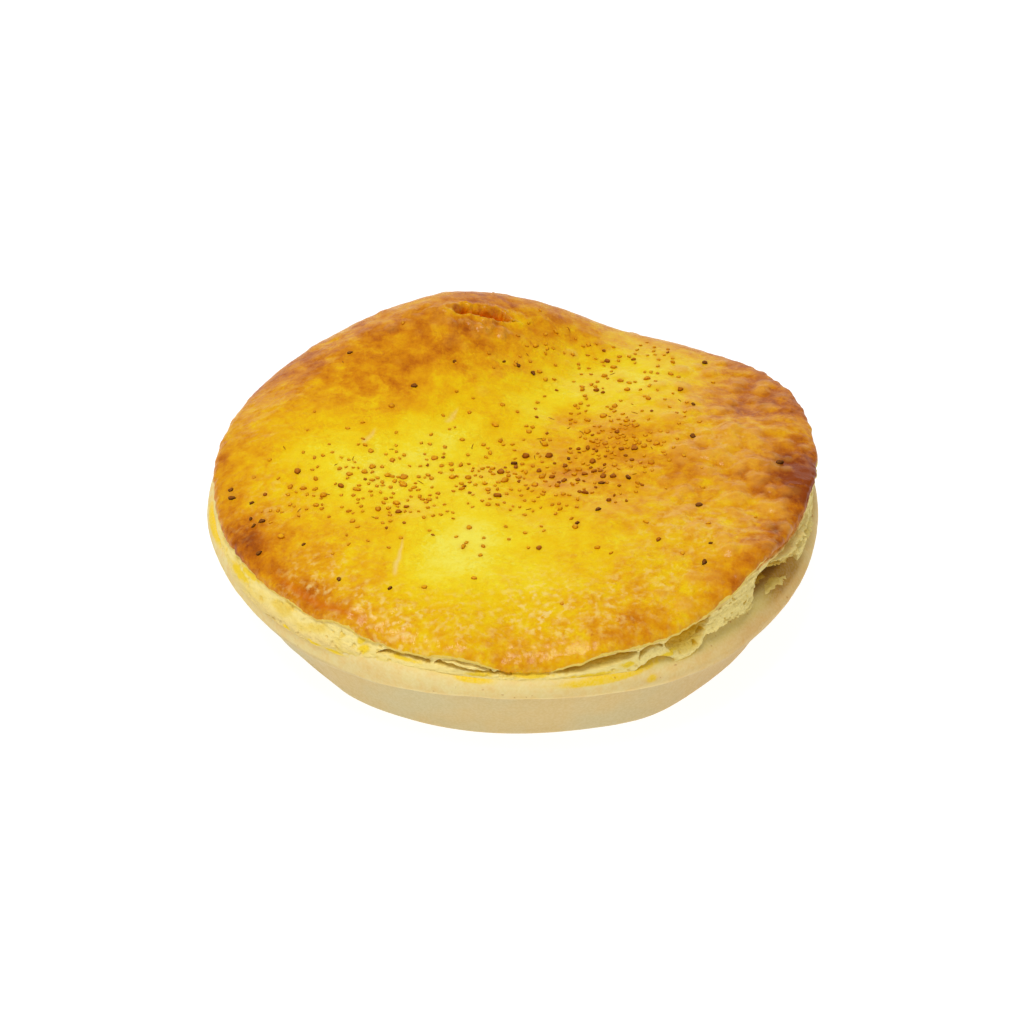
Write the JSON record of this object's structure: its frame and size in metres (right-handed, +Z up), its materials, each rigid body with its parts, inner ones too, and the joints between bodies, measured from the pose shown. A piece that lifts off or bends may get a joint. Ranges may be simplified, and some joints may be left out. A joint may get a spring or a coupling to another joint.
{
  "type": "curry pie",
  "caption": "Small round single-serve curry pie, uncut: pale shortcrust case with a stepped lip under an uneven browned puff pastry lid sprinkled with seasoning.",
  "frame": {"origin": "centre of the pie's box, on the surface that it stands on", "axes": "+Z up; the front that the picture shows faces -Y, with the high hill of the lid at the back left"},
  "size_m": [0.1199, 0.1197, 0.0392],
  "materials": {
    "shortcrust": "pale, floury baked shortcrust, matt, faintly browner at the back",
    "baked_puff_pastry": "egg-washed golden yellow pastry, browned at the back and right, satin gloss, pale flaky torn edge",
    "seasoning": "coarse orange-brown seasoning grains under a thin glaze"
  },
  "bodies": {
    "root": {"case": "shortcrust", "lid": "baked_puff_pastry"}
  },
  "joints": []
}
